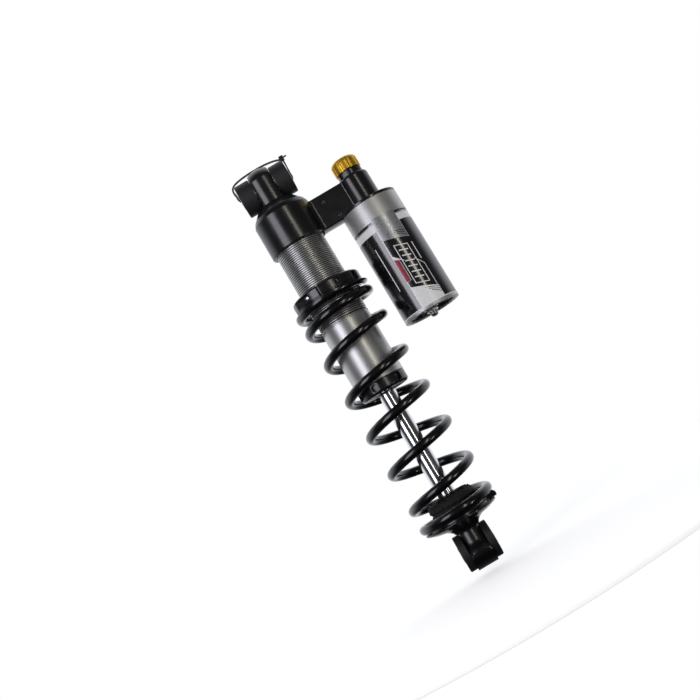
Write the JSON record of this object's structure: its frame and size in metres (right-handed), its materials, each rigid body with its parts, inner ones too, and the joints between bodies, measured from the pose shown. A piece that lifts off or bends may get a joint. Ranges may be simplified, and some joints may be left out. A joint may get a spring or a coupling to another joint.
{
  "type": "rear shock absorber",
  "caption": "Coil-over rear shock absorber with threaded body, screw preload collar, open coil spring, chrome shaft, eye mounts and a side-mounted gas reservoir.",
  "frame": {"origin": "centre of the upper eye bore", "axes": "+Z along the damper towards the upper eye, +X along the eye bolt towards the reservoir, -Y the side with the reservoir label's front"},
  "size_m": [0.1506, 0.0821, 0.4505],
  "materials": {
    "head_black": "black anodised, satin",
    "bush_black": "black acetal, satin",
    "bare_steel": "bright zinc or stainless",
    "tube_grey": "hard anodised grey, satin",
    "seal_black": "black anodised, satin",
    "rubber_black": "nitrile rubber",
    "bronze": "sintered bronze",
    "collar_black": "black anodised, satin gloss",
    "spring_black": "gloss black powder coat",
    "shaft_chrome": "hard chrome, polished",
    "piston_alloy": "hard anodised bronze",
    "ptfe": "filled PTFE band",
    "nut_steel": "plain steel",
    "polyurethane": "cast polyurethane",
    "bump_rubber": "closed cell rubber, matte",
    "seat_black": "black coated steel, satin",
    "reservoir_silver": "clear anodised, satin",
    "label_print": null,
    "clip_steel": "phosphated spring steel",
    "valve_steel": "nickel plated",
    "brass": "plain brass",
    "knob_gold": "gold anodised, satin",
    "tie_nylon": "black nylon"
  },
  "bodies": {
    "damper": {"head_casting": "head_black", "reservoir_bridge": "head_black", "adjuster_housing": "head_black", "bridge_plugs": "clip_steel", "upper_eye_bushes": "bush_black", "upper_eye_washers": "bare_steel", "body_tube": "tube_grey", "head_seal_ring": "rubber_black", "seal_head": "seal_black", "seal_head_ring": "rubber_black", "guide_bush": "bronze", "shaft_seal": "rubber_black", "dust_wiper": "polyurethane", "coil_spring": "spring_black", "reservoir_tube": "reservoir_silver", "reservoir_label": "label_print", "reservoir_seal_ring": "rubber_black", "reservoir_cap": "seal_black", "reservoir_cap_ring": "rubber_black", "reservoir_circlip": "clip_steel", "fill_valve": "valve_steel", "valve_core": "brass", "adjuster_cartridge": "seal_black", "cartridge_ring": "rubber_black", "detent_ball": "bare_steel", "detent_spring": "nut_steel", "base_valve": "piston_alloy", "base_valve_shims": "nut_steel", "base_valve_bolt": "nut_steel", "cable_tie": "tie_nylon"},
    "shaft_assembly": {"damper_shaft": "shaft_chrome", "main_piston": "piston_alloy", "piston_band": "ptfe", "compression_shims": "nut_steel", "rebound_shims": "nut_steel", "piston_nut": "nut_steel", "top_out_bumper": "polyurethane", "bump_stop": "bump_rubber", "lower_spring_seat": "seat_black", "lower_eyelet": "head_black", "lower_eye_bushes": "bush_black"},
    "upper_sleeve": {"upper_eye_sleeve": "bare_steel"},
    "lower_sleeve": {"lower_eye_sleeve": "bare_steel"},
    "spring_seat": {"upper_spring_seat": "seat_black"},
    "collar": {"preload_collar": "collar_black", "collar_pinch_bolt": "bare_steel"},
    "gas_piston": {"floating_piston": "tube_grey", "floating_piston_ring": "rubber_black", "floating_piston_band": "ptfe"},
    "knob": {"adjuster_knob": "knob_gold", "adjuster_needle": "bare_steel", "knob_screw": "bare_steel"}
  },
  "joints": [
    {"name": "shaft_slide", "type": "slide", "parent": "damper", "child": "shaft_assembly", "axis": [0, 0, 1], "range_m": [0, 0.114], "stiffness_N_per_m": 33300, "springref_m": -0.004, "deforming": ["coil_spring"]},
    {"name": "gas_piston_slide", "type": "slide", "parent": "damper", "child": "gas_piston", "axis": [0, 0, 1], "range_m": [-0.0145, 0.001]},
    {"name": "upper_sleeve_turn", "type": "hinge", "parent": "damper", "child": "upper_sleeve", "pos_m": [0, 0, 0], "axis": [1, 0, 0], "continuous": true},
    {"name": "lower_sleeve_turn", "type": "hinge", "parent": "shaft_assembly", "child": "lower_sleeve", "pos_m": [0, 0, -0.4064], "axis": [1, 0, 0], "continuous": true},
    {"name": "spring_seat_lift", "type": "slide", "parent": "damper", "child": "spring_seat", "axis": [0, 0, 1], "range_m": [-0.0081, 0.0041]},
    {"name": "collar_turn", "type": "hinge", "parent": "spring_seat", "child": "collar", "pos_m": [0, 0, -0.12255], "axis": [0, 0, 1], "range_deg": [-1440, 720]},
    {"name": "knob_turn", "type": "hinge", "parent": "damper", "child": "knob", "pos_m": [0.0797, 0, -0.02], "axis": [0, 0, 1], "range_deg": [-330, 330]}
  ],
  "couplings": [
    {"joint": "gas_piston_slide", "follows": "shaft_slide", "ratio": -0.11982},
    {"joint": "spring_seat_lift", "follows": "collar_turn", "m_per_rad": 0.00031831}
  ]
}
